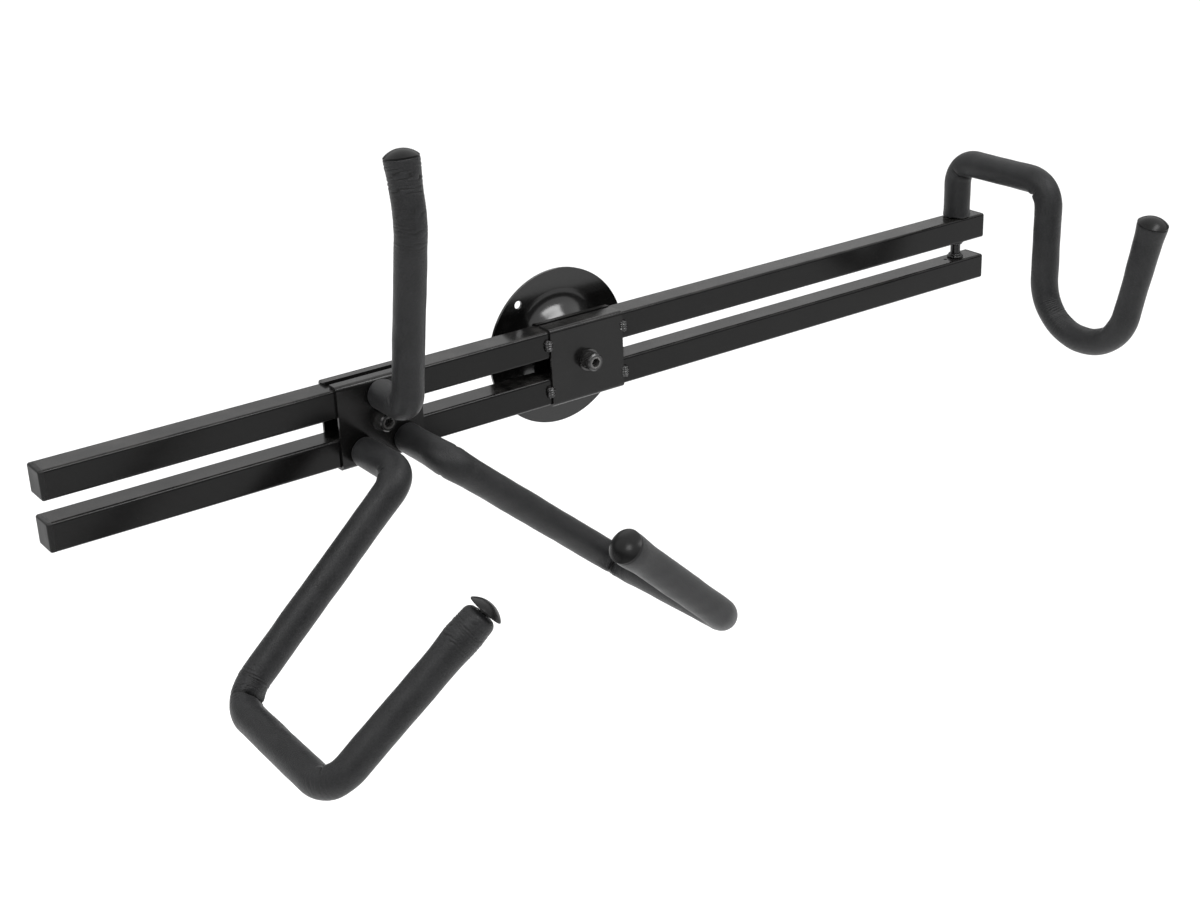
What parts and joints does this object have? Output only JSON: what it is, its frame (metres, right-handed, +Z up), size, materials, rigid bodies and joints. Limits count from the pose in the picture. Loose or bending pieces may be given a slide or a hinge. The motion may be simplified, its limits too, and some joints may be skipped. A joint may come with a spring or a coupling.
{
  "type": "guitar wall hanger",
  "caption": "Horizontal guitar wall hanger: parallel square rails tilting on a round wall flange, a sliding padded body cradle and a padded neck hook at one end.",
  "frame": {"origin": "centre of the wall flange's back face, on the pivot bolt's axis", "axes": "+Z up, +X along the rails towards the neck hook, -Y out of the wall towards the user, the wall is Y = 0"},
  "size_m": [0.799, 0.2552, 0.3391],
  "materials": {
    "flange_paint": "gloss black powder coat",
    "rail_paint": "satin black powder coat",
    "plate_paint": "satin black powder coat",
    "rod_paint": "satin black powder coat",
    "black_steel": "black oxide",
    "weld_metal": "glossy black over a bumpy bead",
    "cap_plastic": "fine moulded texture",
    "plug_plastic": "slightly glossy dome",
    "nylon": "smooth",
    "foam": "closed-cell foam, matte, very fine grain"
  },
  "bodies": {
    "wall_mount": {"wall_flange": "flange_paint", "friction_washer": "nylon", "pivot_back_washer": "black_steel", "pivot_lock_nut": "black_steel"},
    "pivot_bolt": {"pivot_bolt": "black_steel"},
    "rail_frame": {"upper_rail": "rail_paint", "lower_rail": "rail_paint", "upper_rail_left_cap": "cap_plastic", "upper_rail_right_cap": "cap_plastic", "lower_rail_left_cap": "cap_plastic", "lower_rail_right_cap": "cap_plastic", "centre_front_plate": "plate_paint", "centre_rear_plate": "plate_paint", "centre_spacer": "black_steel", "centre_weld_beads": "weld_metal", "pivot_front_washer": "black_steel", "neck_hook_rod": "rod_paint", "neck_hook_welds": "weld_metal", "neck_hook_sleeve": "foam", "neck_hook_end_plug": "plug_plastic"},
    "carriage": {"carriage_front_plate": "plate_paint", "carriage_rear_plate": "plate_paint", "clamp_front_washer": "black_steel", "clamp_back_washer": "black_steel", "clamp_nut": "black_steel", "arm_root_welds": "weld_metal", "upper_arm_rod": "rod_paint", "upper_arm_sleeve": "foam", "upper_arm_end_plug": "plug_plastic", "lower_left_arm_rod": "rod_paint", "lower_left_arm_sleeve": "foam", "lower_left_arm_end_plug": "plug_plastic", "lower_right_arm_rod": "rod_paint", "lower_right_arm_sleeve": "foam", "lower_right_arm_end_plug": "plug_plastic"},
    "clamp_bolt": {"clamp_bolt": "black_steel"}
  },
  "joints": [
    {"name": "rail_tilt", "type": "hinge", "parent": "wall_mount", "child": "rail_frame", "pos_m": [0, 0, 0], "axis": [0, 1, 0], "continuous": true},
    {"name": "pivot_bolt_turn", "type": "hinge", "parent": "wall_mount", "child": "pivot_bolt", "pos_m": [0, 0, 0], "axis": [0, 1, 0], "continuous": true},
    {"name": "carriage_slide", "type": "slide", "parent": "rail_frame", "child": "carriage", "axis": [1, 0, 0], "range_m": [-0.195, 0.1]},
    {"name": "clamp_bolt_turn", "type": "hinge", "parent": "carriage", "child": "clamp_bolt", "pos_m": [-0.1684, 0, 0], "axis": [0, 1, 0], "continuous": true}
  ]
}
